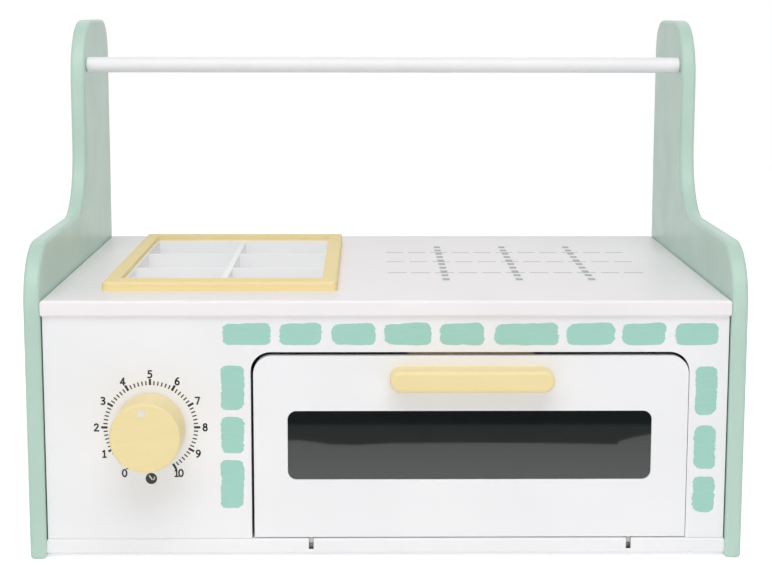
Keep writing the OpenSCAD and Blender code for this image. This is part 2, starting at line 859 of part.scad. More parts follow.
module tray_cross_dividers() {
  slot_w = divider_t + 2 * divider_fit;
  color(white) on_tray() for (y = cross_divider_ys()) difference() {
    translate([-box_in_w / 2, y - divider_t / 2, divider_top - divider_h])
      cube([box_in_w, divider_t, divider_h]);
    translate([-slot_w / 2, y - divider_t, divider_top - divider_h - eps])
      cube([slot_w, 2 * divider_t, divider_h / 2 + eps]);
  }
}

// Middles of the cross dividers, counted from the tray's middle
function cross_divider_ys() = [
  for (i = [1:tray_rows - 1]) -box_in_l / 2 + i * (cell_l + divider_t) - divider_t / 2
];

translate([0, -model_mid_y, 0]) {
  side_panel_left();
  side_panel_right();
  worktop();
  base_board();
  front_panel();
  back_panel();
  rail();
  rail_screws();
  side_screws();
  panel_dowels();
  back_screws();
  door_stop_block();
  stop_screws();
  catch_magnet();
  hinge_base_barrels();
  hinge_pins();
  hinge_door_barrels();
  door_panel();
  door_window();
  door_handle();
  handle_screws();
  strike_disc();
  strike_screw();
  knob();
  knob_marker();
  knob_insert();
  knob_bolt();
  knob_washer();
  knob_spacer();
  tray_rim();
  tray_side_walls();
  tray_end_walls();
  tray_bottom();
  tray_long_divider();
  tray_cross_dividers();
}
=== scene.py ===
import math
import random

import bmesh
import bpy
from mathutils import Matrix, Vector, noise


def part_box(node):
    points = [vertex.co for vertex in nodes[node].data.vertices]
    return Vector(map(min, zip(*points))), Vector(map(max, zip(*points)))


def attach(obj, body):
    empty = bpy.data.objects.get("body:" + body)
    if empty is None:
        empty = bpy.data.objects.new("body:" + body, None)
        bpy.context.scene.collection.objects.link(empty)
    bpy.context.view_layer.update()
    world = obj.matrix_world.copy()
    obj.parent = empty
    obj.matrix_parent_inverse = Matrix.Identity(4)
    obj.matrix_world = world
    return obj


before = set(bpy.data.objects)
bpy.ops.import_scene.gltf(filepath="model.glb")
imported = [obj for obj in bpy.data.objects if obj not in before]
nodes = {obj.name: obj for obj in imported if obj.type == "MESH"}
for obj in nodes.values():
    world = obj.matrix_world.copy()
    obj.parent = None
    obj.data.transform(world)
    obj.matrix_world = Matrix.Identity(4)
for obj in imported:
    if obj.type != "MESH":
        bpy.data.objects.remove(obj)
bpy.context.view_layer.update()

scene = bpy.context.scene
mm = 0.001
pureWhite = (1, 1, 1, 1)

# Sockets of the Mix node that share a name, so they are taken by number
mixFactor, floatA, floatB, colorA, colorB = 0, 2, 3, 6, 7
mixedFloat, mixedColor = 0, 2

# The model's origin is under its middle; the panel's face lies this far in front
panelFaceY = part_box("front_panel")[0][1]
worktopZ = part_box("worktop")[1][2]
print("frame loaded, front panel face at", round(panelFaceY, 4))


def hexToLinear(hexColor):
    # the numbers are those of the sRGB curve
    parts = [int(hexColor[i:i + 2], 16) / 255 for i in (1, 3, 5)]
    return tuple(p / 12.92 if p <= 0.04045 else ((p + 0.055) / 1.055) ** 2.4 for p in parts) + (1.0,)


def addNode(tree, kind, settings=None, inputs=None, links=None):
    node = tree.nodes.new(kind)
    for name, value in (settings or {}).items():
        setattr(node, name, value)
    for name, value in (inputs or {}).items():
        node.inputs[name].default_value = value
    for name, socket in (links or {}).items():
        tree.links.new(socket, node.inputs[name])
    return node


def patternScale(sizeMm):
    # noise scale from the size in mm that one swing of a pattern takes
    return 1 / (sizeMm * mm)


def stretchScale(sizesMm):
    # the same for a pattern whose swings differ along x, y and z
    return tuple(patternScale(size) for size in sizesMm)


def newMaterial(name):
    material = bpy.data.materials.new(name)
    material.use_nodes = True
    tree = material.node_tree
    tree.nodes.clear()
    output = tree.nodes.new("ShaderNodeOutputMaterial")
    coords = tree.nodes.new("ShaderNodeTexCoord")
    return material, tree, output, coords.outputs["Object"]


def makeLacqueredBoard(name, look):
    # sprayed satin lacquer on MDF: even colour, soft sheen, a faint orange peel, a little duller
    # and shinier by turns where hands have been
    material, tree, output, place = newMaterial(name)
    clouds = addNode(tree, "ShaderNodeTexNoise",
                     inputs={"Scale": patternScale(look["cloudMm"]), "Detail": 3.0}, links={"Vector": place})
    tint = addNode(tree, "ShaderNodeMapRange", inputs={"From Min": 0.35, "From Max": 0.65},
                   links={"Value": clouds.outputs["Fac"]})
    color = addNode(tree, "ShaderNodeMix", {"data_type": "RGBA"},
                    {colorA: hexToLinear(look["shade"]), colorB: hexToLinear(look["color"])},
                    {mixFactor: tint.outputs["Result"]})
    peel = addNode(tree, "ShaderNodeTexNoise",
                   inputs={"Scale": patternScale(look["peelMm"]), "Detail": 2.0}, links={"Vector": place})
    bump = addNode(tree, "ShaderNodeBump",
                   inputs={"Strength": look["peel"], "Distance": lacquer["peelDepthMm"] * mm},
                   links={"Height": peel.outputs["Fac"]})
    handled = addNode(tree, "ShaderNodeTexNoise",
                      inputs={"Scale": patternScale(lacquer["handledMm"]), "Detail": 4.0},
                      links={"Vector": place})
    rough = addNode(tree, "ShaderNodeMapRange",
                    inputs={"From Min": 0.3, "From Max": 0.7, "To Min": look["rough"] - lacquer["shinier"],
                            "To Max": look["rough"] + lacquer["duller"]},
                    links={"Value": handled.outputs["Fac"]})
    shader = addNode(tree, "ShaderNodeBsdfPrincipled",
                     inputs={"IOR": 1.5, "Specular IOR Level": look["gloss"]},
                     links={"Base Color": color.outputs[mixedColor], "Roughness": rough.outputs["Result"],
                            "Normal": bump.outputs["Normal"]})
    tree.links.new(shader.outputs["BSDF"], output.inputs["Surface"])
    return material


def makePaintedBeech(name, look):
    # paint on turned and routed beech, satin or matt: the grain shows only as a faint ripple
    material, tree, output, place = newMaterial(name)
    stretch = addNode(tree, "ShaderNodeMapping", inputs={"Scale": stretchScale(look["grainMm"])},
                      links={"Vector": place})
    grain = addNode(tree, "ShaderNodeTexNoise", inputs={"Scale": 1.0, "Detail": 5.0, "Roughness": 0.6},
                    links={"Vector": stretch.outputs["Vector"]})
    tint = addNode(tree, "ShaderNodeMapRange", inputs={"From Min": 0.3, "From Max": 0.7},
                   links={"Value": grain.outputs["Fac"]})
    color = addNode(tree, "ShaderNodeMix", {"data_type": "RGBA"},
                    {colorA: hexToLinear(look["shade"]), colorB: hexToLinear(look["color"])},
                    {mixFactor: tint.outputs["Result"]})
    bump = addNode(tree, "ShaderNodeBump", inputs={"Strength": 0.35, "Distance": 0.05 * mm},
                   links={"Height": grain.outputs["Fac"]})
    shader = addNode(tree, "ShaderNodeBsdfPrincipled",
                     inputs={"Roughness": look["rough"], "IOR": 1.5, "Specular IOR Level": 0.5},
                     links={"Base Color": color.outputs[mixedColor], "Normal": bump.outputs["Normal"]})
    tree.links.new(shader.outputs["BSDF"], output.inputs["Surface"])
    return material


def makeBarePine(name, look):
    # planed pine: darker late-wood lines about 4 mm apart along the block
    material, tree, output, place = newMaterial(name)
    stretch = addNode(tree, "ShaderNodeMapping", inputs={"Scale": stretchScale(look["grainMm"])},
                      links={"Vector": place})
    rings = addNode(tree, "ShaderNodeTexNoise", inputs={"Scale": 1.0, "Detail": 4.0, "Distortion": 0.6},
                    links={"Vector": stretch.outputs["Vector"]})
    color = addNode(tree, "ShaderNodeValToRGB", links={"Fac": rings.outputs["Fac"]})
    late, early = color.color_ramp.elements
    late.position, late.color = 0.35, hexToLinear(look["shade"])
    early.position, early.color = 0.65, hexToLinear(look["color"])
    bump = addNode(tree, "ShaderNodeBump", inputs={"Strength": 0.4, "Distance": 0.08 * mm},
                   links={"Height": rings.outputs["Fac"]})
    shader = addNode(tree, "ShaderNodeBsdfPrincipled", inputs={"Roughness": look["rough"], "IOR": 1.5},
                     links={"Base Color": color.outputs["Color"], "Normal": bump.outputs["Normal"]})
    tree.links.new(shader.outputs["BSDF"], output.inputs["Surface"])
    return material


def makeSmokedAcrylic(name, look):
    # smoked cast acrylic, too dark to see through: a clear mirror on each of its two faces
    material, tree, output, place = newMaterial(name)
    smear = addNode(tree, "ShaderNodeTexNoise",
                    inputs={"Scale": patternScale(look["smearMm"]), "Detail": 3.0}, links={"Vector": place})
    rough = addNode(tree, "ShaderNodeMapRange", inputs={"To Min": 0.02, "To Max": 0.06},
                    links={"Value": smear.outputs["Fac"]})
    color = addNode(tree, "ShaderNodeMix", {"data_type": "RGBA"},
                    {colorA: hexToLinear(look["shade"]), colorB: hexToLinear(look["color"])},
                    {mixFactor: smear.outputs["Fac"]})
    shader = addNode(tree, "ShaderNodeBsdfPrincipled",
                     inputs={"IOR": 1.49, "Coat Weight": 1.0, "Coat Roughness": 0.03, "Coat IOR": 1.49},
                     links={"Base Color": color.outputs[mixedColor], "Roughness": rough.outputs["Result"]})
    tree.links.new(shader.outputs["BSDF"], output.inputs["Surface"])
    return material


def makePlatedSteel(name, look):
    # plated steel: drawn lines and a slight cloudiness; the lines are finer than a pixel of the
    # photo's view, so they only show close up
    material, tree, output, place = newMaterial(name)
    stretch = addNode(tree, "ShaderNodeMapping", inputs={"Scale": stretchScale(look["lineMm"])},
                      links={"Vector": place})
    lines = addNode(tree, "ShaderNodeTexNoise", inputs={"Scale": 1.0, "Detail": 3.0},
                    links={"Vector": stretch.outputs["Vector"]})
    color = addNode(tree, "ShaderNodeMix", {"data_type": "RGBA"},
                    {colorA: hexToLinear(look["shade"]), colorB: hexToLinear(look["color"])},
                    {mixFactor: lines.outputs["Fac"]})
    rough = addNode(tree, "ShaderNodeMapRange",
                    inputs={"To Min": look["rough"] - 0.06, "To Max": look["rough"] + 0.08},
                    links={"Value": lines.outputs["Fac"]})
    bump = addNode(tree, "ShaderNodeBump", inputs={"Strength": 0.2, "Distance": 0.02 * mm},
                   links={"Height": lines.outputs["Fac"]})
    shader = addNode(tree, "ShaderNodeBsdfPrincipled", inputs={"Metallic": 1.0},
                     links={"Base Color": color.outputs[mixedColor], "Roughness": rough.outputs["Result"],
                            "Normal": bump.outputs["Normal"]})
    tree.links.new(shader.outputs["BSDF"], output.inputs["Surface"])
    return material


def makeBrushedPaint(name, look):
    # water-based paint dabbed on with a flat brush: streaks along the stroke, a few pixels of the
    # photo's view apart, which is coarser than bristle marks
    material, tree, output, place = newMaterial(name)
    stretch = addNode(tree, "ShaderNodeMapping", inputs={"Scale": stretchScale(look["strokeMm"])},
                      links={"Vector": place})
    streaks = addNode(tree, "ShaderNodeTexNoise", inputs={"Scale": 1.0, "Detail": 4.0, "Roughness": 0.55},
                      links={"Vector": stretch.outputs["Vector"]})
    tint = addNode(tree, "ShaderNodeMapRange", inputs={"From Min": 0.3, "From Max": 0.72},
                   links={"Value": streaks.outputs["Fac"]})
    color = addNode(tree, "ShaderNodeMix", {"data_type": "RGBA"},
                    {colorA: hexToLinear(look["shade"]), colorB: hexToLinear(look["color"])},
                    {mixFactor: tint.outputs["Result"]})
    bump = addNode(tree, "ShaderNodeBump", inputs={"Strength": 0.3, "Distance": 0.03 * mm},
                   links={"Height": streaks.outputs["Fac"]})
    shader = addNode(tree, "ShaderNodeBsdfPrincipled", inputs={"Roughness": look["rough"], "IOR": 1.5},
                     links={"Base Color": color.outputs[mixedColor], "Normal": bump.outputs["Normal"]})
    tree.links.new(shader.outputs["BSDF"], output.inputs["Surface"])
    return material


def makeScreenInk(name, look):
    # screen-printed ink: flat and matt, a little thin at the mesh's pinholes, which are drawn
    # about a pixel of the photo's view wide, much coarser than real ones
    material, tree, output, place = newMaterial(name)
    mesh = addNode(tree, "ShaderNodeTexNoise", inputs={"Scale": patternScale(pinholeMm), "Detail": 2.0},
                   links={"Vector": place})
    thin = addNode(tree, "ShaderNodeMapRange", inputs={"From Min": 0.55, "From Max": 0.75},
                   links={"Value": mesh.outputs["Fac"]})
    color = addNode(tree, "ShaderNodeMix", {"data_type": "RGBA"},
                    {colorA: hexToLinear(look["color"]), colorB: hexToLinear(look["thin"])},
                    {mixFactor: thin.outputs["Result"]})
    shader = addNode(tree, "ShaderNodeBsdfPrincipled", inputs={"Roughness": 0.5, "IOR": 1.5},
                     links={"Base Color": color.outputs[mixedColor]})
    tree.links.new(shader.outputs["BSDF"], output.inputs["Surface"])
    return material


# What all the lacquered boards share; shinier and duller are steps of roughness
lacquer = {"peelDepthMm": 0.04, "handledMm": 35, "shinier": 0.04, "duller": 0.05}
pinholeMm = 0.8
# Colours are matched to the photo; pattern sizes, in mm, are picked and not measured
finishes = {
    "mint": {"color": "#bcd8cb", "shade": "#b7d3c6", "cloudMm": 90, "peelMm": 2.2, "peel": 0.06,
             "rough": 0.33, "gloss": 0.33},
    "white": {"color": "#f3f3f5", "shade": "#efeff1", "cloudMm": 120, "peelMm": 2.2, "peel": 0.12,
              "rough": 0.42, "gloss": 0.5},
    # the worktop's copy of the white lacquer is a little darker: painted shade for a face that looks up
    "worktop": {"color": "#f4f0f2", "shade": "#f1edef", "cloudMm": 120, "peelMm": 2.2, "peel": 0.12,
                "rough": 0.38, "gloss": 0.5},
    # the tray's white is brighter than the boards' white: painted light that makes up for the shade in its
    # recessed cells
    "tray": {"color": "#fcfcfd", "shade": "#f9f9fa", "cloudMm": 80, "peelMm": 2.2, "peel": 0.12,
             "rough": 0.45, "gloss": 0.5},
    "ivory": {"color": "#e9e6df", "shade": "#e4e1d9", "cloudMm": 20, "peelMm": 1.5, "peel": 0.12,
              "rough": 0.45, "gloss": 0.5},
    "yellow": {"color": "#f3e0a8", "shade": "#f0dca4", "grainMm": (28.0, 4.2, 3.8), "rough": 0.42},
    # the rim's yellow is matt, and a touch brighter than the knob's: the brighter colour is painted light
    "rim": {"color": "#f6e1a6", "shade": "#f3dda1", "grainMm": (28.0, 4.2, 3.8), "rough": 0.6},
    "pine": {"color": "#ebd5a6", "shade": "#cdb079", "grainMm": (80.0, 4.2, 4.2), "rough": 0.62},
    "acrylic": {"color": "#191d1e", "shade": "#151a1b", "smearMm": 60},
    # the nickel is darker than plated nickel: partly painted shade for the hinge notches
    "nickel": {"color": "#a3a19d", "shade": "#8f8d89", "lineMm": (2.5, 0.25, 0.25), "rough": 0.28},
    "zinc": {"color": "#c2c3c0", "shade": "#a9aaa6", "lineMm": (2.5, 0.25, 0.25), "rough": 0.36},
    "tile": {"color": "#a2d3c6", "shade": "#9ecfc1", "strokeMm": (16.0, 2.0, 2.0), "rough": 0.5},
    "charcoal": {"color": "#222426", "thin": "#2e3032"},
    "grey": {"color": "#8a8d8c", "thin": "#9ea1a0"},
    "greyGreen": {"color": "#a6adaa", "thin": "#b8bebb"},
    "nylon": {"color": "#e6e4dc", "thin": "#dddbd2"},
}
mintLacquer = makeLacqueredBoard("satin mint lacquer on MDF", finishes["mint"])
whiteLacquer = makeLacqueredBoard("satin white lacquer on MDF", finishes["white"])
worktopShadedLacquer = makeLacqueredBoard("satin white lacquer on the worktop", finishes["worktop"])
trayBrightenedLacquer = makeLacqueredBoard("white lacquer on thin board, brightened as painted light", finishes["tray"])
ivoryPaint = makeLacqueredBoard("ivory paint on the marker", finishes["ivory"])
yellowPaint = makePaintedBeech("satin yellow paint on beech", finishes["yellow"])
rimPaintBrightened = makePaintedBeech("matt yellow paint on the rim, brightened as painted light", finishes["rim"])
barePine = makeBarePine("bare planed pine", finishes["pine"])
smokedAcrylic = makeSmokedAcrylic("smoked cast acrylic", finishes["acrylic"])
shadedNickelSteel = makePlatedSteel("nickel plated steel, darkened as painted shade", finishes["nickel"])
zincSteel = makePlatedSteel("zinc plated steel", finishes["zinc"])
tilePaint = makeBrushedPaint("brushed mint paint", finishes["tile"])
# the charcoal ink is print on the panel, and also painted shade on the slit cards
darkInkAndSlitShade = makeScreenInk("charcoal screen ink, also painted shade in the slits", finishes["charcoal"])
greyInk = makeScreenInk("grey screen ink", finishes["grey"])
greenInk = makeScreenInk("grey green screen ink", finishes["greyGreen"])
nylon = makeScreenInk("natural nylon", finishes["nylon"])  # as plain and matt as the inks
print("finishes made")

finishOf = {
    mintLacquer: ["side_panel_left", "side_panel_right"],
    whiteLacquer: ["base_board", "front_panel", "back_panel", "rail", "door_panel"],
    worktopShadedLacquer: ["worktop"],
    trayBrightenedLacquer: ["tray_side_walls", "tray_end_walls", "tray_bottom", "tray_long_divider",
                  "tray_cross_dividers"],
    ivoryPaint: ["knob_marker"],
    yellowPaint: ["door_handle", "knob"],
    rimPaintBrightened: ["tray_rim"],
    barePine: ["door_stop_block", "panel_dowels"],
    smokedAcrylic: ["door_window"],
    shadedNickelSteel: ["hinge_base_barrels", "hinge_pins", "hinge_door_barrels", "catch_magnet", "strike_disc",
                  "knob_bolt"],
    zincSteel: ["rail_screws", "side_screws", "back_screws", "stop_screws", "handle_screws", "strike_screw",
                "knob_washer", "knob_insert"],
    nylon: ["knob_spacer"],
}
for material, names in finishOf.items():
    for name in names:
        nodes[name].data.materials.clear()
        nodes[name].data.materials.append(material)

# Small arrises that the solids leave sharp: widths in mm, and the least angle in degrees that gets one
arrises = {
    "widths": {
        "front_panel": 0.8, "door_panel": 1.0, "back_panel": 0.4, "door_stop_block": 0.8,
        "tray_side_walls": 0.6, "tray_end_walls": 0.6, "tray_long_divider": 0.6, "tray_cross_dividers": 0.6,
        "tray_rim": 0.7, "knob_marker": 0.3, "hinge_door_barrels": 0.2, "hinge_base_barrels": 0.15,
    },
    "segments": 3, "angle": 40,
}
for name, width in arrises["widths"].items():
    bevel = nodes[name].modifiers.new("arris", "BEVEL")
    bevel.width = width * mm
    bevel.segments = arrises["segments"]
    bevel.limit_method = "ANGLE"
    bevel.angle_limit = math.radians(arrises["angle"])
    bevel.use_clamp_overlap = True
print("solids finished")


def flatPiece(name, outlines, material, body, plane, film):
    # every outline is a list of (u, v) in mm; plane turns it into a place in metres
    mesh = bpy.data.meshes.new(name)
    shape = bmesh.new()
    for outline in outlines:
        shape.faces.new([shape.verts.new(plane(u, v, film)) for u, v in outline])
    bmesh.ops.recalc_face_normals(shape, faces=shape.faces)
    bmesh.ops.triangulate(shape, faces=[f for f in shape.faces if len(f.verts) > 4])
    shape.to_mesh(mesh)
    shape.free()
    piece = bpy.data.objects.new(name, mesh)
    scene.collection.objects.link(piece)
    mesh.materials.append(material)
    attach(piece, body)


def onPanel(x, z, film):
    return Vector((x * mm, panelFaceY - film * mm, z * mm))


def onWorktop(x, y, film):
    return Vector((x * mm, panelFaceY + y * mm, worktopZ + film * mm))


def bar(start, end, wide):
    start, end = Vector(start), Vector(end)
    along = (end - start).normalized() * wide / 2
    across = Vector((-along.y, along.x))
    return [start - across, end - across, end + across, start + across]


def ring(center, radius, sides=40):
    turns = [2 * math.pi * i / sides for i in range(sides)]
    return [(center[0] + radius * math.cos(t), center[1] + radius * math.sin(t)) for t in turns]


def inkLine(points, wide, cornerSides=10):
    # a bar for each stretch of the line, with a small disc at every corner
    bars = [bar(start, end, wide) for start, end in zip(points, points[1:])]
    return bars + [ring(point, wide / 2, cornerSides) for point in points]


# Prints on the front panel: lengths in mm, angles in degrees, digitStep in digit heights
dial = {
    "center": (-172.0, 98.9), "lastNumber": 10, "ticksPerNumber": 6, "firstAngle": 240, "tickAngle": 5,
    "inner": 31.5, "minorOuter": 34.6, "majorOuter": 36.1, "minorWide": 0.95, "majorWide": 1.7,
    "digitRing": 39.6, "digitHeight": 5.6, "digitStroke": 1.12, "digitStep": 0.58, "film": 0.05,
    "symbol": (-172.3, 60.5), "symbolSize": 8.4,
    "pointer": ((-1.5, 2.2), (0.7, -0.9), (2.1, -0.5), (2.3, 1.0)), "pointerWide": 0.85,
}


def dialPlace(tick, radius):
    turn = math.radians(dial["firstAngle"] - dial["tickAngle"] * tick)
    return Vector(dial["center"]) + radius * Vector((math.cos(turn), math.sin(turn)))


ticks = []
for tick in range(dial["lastNumber"] * dial["ticksPerNumber"] + 1):
    kind = "minor" if tick % dial["ticksPerNumber"] else "major"
    ticks.append(bar(dialPlace(tick, dial["inner"]), dialPlace(tick, dial[kind + "Outer"]),
                     dial[kind + "Wide"]))
flatPiece("dial_ticks", ticks, darkInkAndSlitShade, "cabinet", onPanel, dial["film"])


def oval(middle, halfWide, halfHigh, sides):
    turns = [2 * math.pi * i / sides for i in range(sides + 1)]
    return [(halfWide * math.cos(t), middle + halfHigh * math.sin(t)) for t in turns]


# Strokes of the digits, one unit high, drawn about the middle of their width
strokes = {
    "0": [oval(0.5, 0.27, 0.46, 20)],
    "1": [[(-0.17, 0.8), (0.02, 0.95), (0.02, 0.05)], [(-0.18, 0.05), (0.22, 0.05)]],
    "2": [[(-0.24, 0.76), (-0.18, 0.9), (-0.02, 0.96), (0.15, 0.91), (0.22, 0.76), (0.17, 0.58),
           (-0.26, 0.05), (0.28, 0.05)]],
    "3": [[(-0.22, 0.89), (-0.04, 0.96), (0.14, 0.9), (0.19, 0.75), (0.1, 0.58), (-0.08, 0.53)],
          [(-0.08, 0.53), (0.13, 0.47), (0.23, 0.29), (0.15, 0.11), (-0.04, 0.04), (-0.25, 0.1)]],
    "4": [[(0.12, 0.03), (0.12, 0.93), (-0.29, 0.28), (0.3, 0.28)]],
    "5": [[(0.21, 0.94), (-0.15, 0.94), (-0.18, 0.57), (0.02, 0.6), (0.19, 0.5), (0.24, 0.3), (0.16, 0.12),
           (-0.04, 0.04), (-0.24, 0.08)]],
    "6": [[(0.18, 0.95), (-0.02, 0.87), (-0.18, 0.65), (-0.25, 0.34), (-0.17, 0.12), (0.0, 0.04),
           (0.17, 0.11), (0.24, 0.3), (0.16, 0.5), (0.0, 0.57), (-0.17, 0.5), (-0.24, 0.34)]],
    "7": [[(-0.26, 0.94), (0.25, 0.94), (-0.06, 0.04)]],
    "8": [oval(0.76, 0.2, 0.2, 16), oval(0.29, 0.25, 0.25, 16)],
}
strokes["9"] = [[(-x, 1 - y) for x, y in strokes["6"][0]]]

digitShapes = []
for number in range(dial["lastNumber"] + 1):
    middle = dialPlace(number * dial["ticksPerNumber"], dial["digitRing"])
    digits = str(number)
    for place, digit in enumerate(digits):
        shift = (place - (len(digits) - 1) / 2) * dial["digitStep"]
        for line in strokes[digit]:
            digitShapes += inkLine([(middle.x + (x + shift) * dial["digitHeight"],
                                     middle.y + (z - 0.5) * dial["digitHeight"]) for x, z in line],
                                   dial["digitStroke"])
flatPiece("dial_digits", digitShapes, darkInkAndSlitShade, "cabinet", onPanel, dial["film"])

symbolX, symbolZ = dial["symbol"]
pointerLine = [(symbolX + x, symbolZ + z) for x, z in dial["pointer"]]
flatPiece("dial_symbol", [ring(dial["symbol"], dial["symbolSize"] / 2)], darkInkAndSlitShade, "cabinet",
          onPanel, dial["film"])
flatPiece("dial_symbol_pointer", inkLine(pointerLine, dial["pointerWide"]), whiteLacquer, "cabinet",
          onPanel, 2 * dial["film"])
print("dial printed")

# (x from, x to, z from, z to) of each painted tile in mm, and what the brush does at their edges:
# swings are per mm, and a layer is a part of the noise that the other edge marks don't use
tiles = {
    "across": [(-118.6, -84.3, 160.1, 175.9), (-78.0, -47.0, 160.0, 175.9), (-39.7, -8.1, 160.0, 175.8),
               (-1.9, 32.6, 160.0, 175.8), (38.5, 70.6, 159.9, 175.8), (78.6, 125.1, 159.9, 175.8),
               (130.9, 165.6, 159.9, 175.7), (171.2, 203.0, 159.8, 175.7), (209.7, 241.5, 159.8, 175.7)],
    "left": [(-120.5, -103.7, 111.9, 144.7), (-120.9, -104.1, 79.7, 106.6), (-121.4, -104.5, 38.0, 74.0)],
    "right": [(225.7, 241.2, 108.0, 144.0), (225.6, 241.4, 66.9, 99.5), (225.7, 241.5, 34.4, 61.0)],
    "corner": 5.0, "cornerSpread": (0.75, 1.2), "cornerSteps": 8, "lean": (0.4, 1.7), "stepMm": 0.4,
    "slowWobble": 0.8, "slowSwings": 0.11, "quickWobble": 0.25, "quickSwings": 0.9, "quickLayer": 20,
    "ragged": 1.1, "bristleMm": 0.8, "bristleLayer": 40, "endLane": 0.5, "endGain": 1.6,
    "noiseSpan": 100, "film": 0.06, "seed": 4,
}


def roundedOutline(x0, x1, z0, z1, radii):
    hubs = [(x1, z0, -90, -1, 1), (x1, z1, 0, -1, -1), (x0, z1, 90, 1, -1), (x0, z0, 180, 1, 1)]
    outline = []
    for (cornerX, cornerZ, start, inX, inZ), r in zip(hubs, radii):
        for i in range(tiles["cornerSteps"] + 1):
            a = math.radians(start + 90 * i / tiles["cornerSteps"])
            outline.append(Vector((cornerX + inX * r + r * math.cos(a), cornerZ + inZ * r + r * math.sin(a))))
    return outline


def denseOutline(outline):
    dense = []
    for point, following in zip(outline, outline[1:] + outline[:1]):
        steps = max(1, int((following - point).length / tiles["stepMm"]))
        dense += [point.lerp(following, k / steps) for k in range(steps)]
    return dense


def paintedTile(x0, x1, z0, z1, dice):
    # rounded rectangle with the ragged edge of a brush; the upper edge of a wide one climbs to the right
    w, h = x1 - x0, z1 - z0
    lean = dice.uniform(*tiles["lean"]) if w > h else 0
    radii = [tiles["corner"] * dice.uniform(*tiles["cornerSpread"]) for _ in range(4)]
    middle = Vector(((x0 + x1) / 2, (z0 + z1) / 2))
    shift = dice.uniform(0, tiles["noiseSpan"])
    result = []
    for point in denseOutline(roundedOutline(x0, x1, z0, z1, radii)):
        out = (point - middle).normalized()
        slow = noise.noise(Vector((point.x * tiles["slowSwings"], point.y * tiles["slowSwings"], shift)))
        quick = noise.noise(Vector((point.x * tiles["quickSwings"], point.y * tiles["quickSwings"],
                                    shift + tiles["quickLayer"])))
        moved = point + out * (slow * tiles["slowWobble"] + quick * tiles["quickWobble"])
        if point.y > middle.y:
            moved.y += lean * (moved.x - middle.x) / w
        # bristles end unevenly at the left and right of each stroke
        lane = tiles["endLane"] * math.copysign(1, out.x)
        bristle = noise.noise(Vector((point.y / tiles["bristleMm"], lane, shift + tiles["bristleLayer"])))
        moved.x += tiles["ragged"] * bristle * min(1, tiles["endGain"] * abs(out.x))
        result.append(moved)
    return result


dice = random.Random(tiles["seed"])
for group in ("across", "left", "right"):
    outlines = [paintedTile(*edges, dice) for edges in tiles[group]]
    flatPiece("painted_tiles_" + group, outlines, tilePaint, "cabinet", onPanel, tiles["film"])
print("tiles painted")

# Prints on the worktop, in mm; y counts back from the front panel
hob = {
    "rows": (134.0, 196.0, 253.0), "rowFrom": 2.3, "rowDash": 15.0, "rowPitch": 18.9, "rowCount": 11,
    "rowWide": 1.9,
    "columns": (47.4, 104.4, 160.8), "columnFrom": 94.0, "columnTo": 291.5, "columnCount": 10,
    "columnWide": 5.4, "columnDash": 10.8, "film": 0.05,
}


def dash(x, y, wide, deep):
    return [(x, y), (x + wide, y), (x + wide, y + deep), (x, y + deep)]


rowDashes = [dash(hob["rowFrom"] + i * hob["rowPitch"], y - hob["rowWide"] / 2, hob["rowDash"],
                  hob["rowWide"])
             for y in hob["rows"] for i in range(hob["rowCount"])]
flatPiece("hob_rows", rowDashes, greyInk, "cabinet", onWorktop, hob["film"])
columnPitch = (hob["columnTo"] - hob["columnFrom"] - hob["columnDash"]) / (hob["columnCount"] - 1)
columnDashes = [dash(x - hob["columnWide"] / 2, hob["columnFrom"] + i * columnPitch, hob["columnWide"],
                     hob["columnDash"])
                for x in hob["columns"] for i in range(hob["columnCount"])]
flatPiece("hob_columns", columnDashes, greenInk, "cabinet", onWorktop, 2 * hob["film"])
print("hob printed")

# Paper floor: lengths in mm, and the two loss distances along y from the front panel, between which its glow
# in a mirror dims as a painted reflection
paper = {
    "size": 6000, "color": "#ffffff", "shade": "#fbfbfb", "fibreMm": 3, "glow": 0.62, "bounce": 0.05,
    "mirrorGlow": 0.57, "mirrorLoss": 0.45, "lossNone": -160, "lossFull": -360,
}
# Painted reflection of the unlit room past the white table, a glowing sheet that only the door's window
# mirrors:
# (x, y) in mm from the front panel; its glow fades from near to far, along y
paintedRoomReflection = {
    "tableEdge": [(-700, -362), (-77, -358), (-60, -350), (-48, -342), (-25, -340), (7, -346), (63, -348),
                  (152, -346), (203, -342), (219, -341), (222, -353), (236, -366), (255, -380), (700, -420)],
    "farEdge": [(700, -1100), (-700, -1100)], "lift": 0.5, "color": "#f4f6f0",
    "nearGlow": 0.25, "farGlow": 0.03, "near": -416, "far": -426,
}


